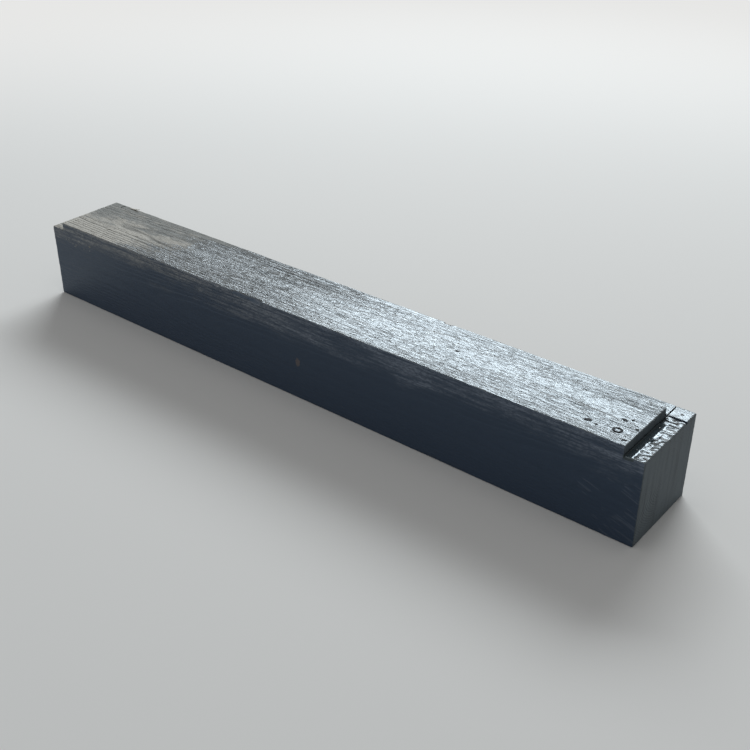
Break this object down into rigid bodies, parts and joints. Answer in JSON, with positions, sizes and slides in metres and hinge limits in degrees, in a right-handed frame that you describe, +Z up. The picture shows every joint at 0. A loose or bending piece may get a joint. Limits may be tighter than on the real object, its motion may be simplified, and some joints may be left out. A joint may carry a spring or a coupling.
{
  "type": "railway sleeper",
  "caption": "Sawn and treated timber sleeper with a raised top field, left by a shallow rebate along the back and across both ends, and saw kerfs at the foot of the risers.",
  "frame": {"origin": "middle of the underside, on the floor that the sleeper lies on", "axes": "+X along the sleeper, +Y across it from the flush front towards the rebated back, +Z up"},
  "size_m": [1.6, 0.2, 0.2],
  "materials": {
    "timber": "satin"
  },
  "bodies": {
    "root": {"sleeper": "timber"}
  },
  "joints": []
}
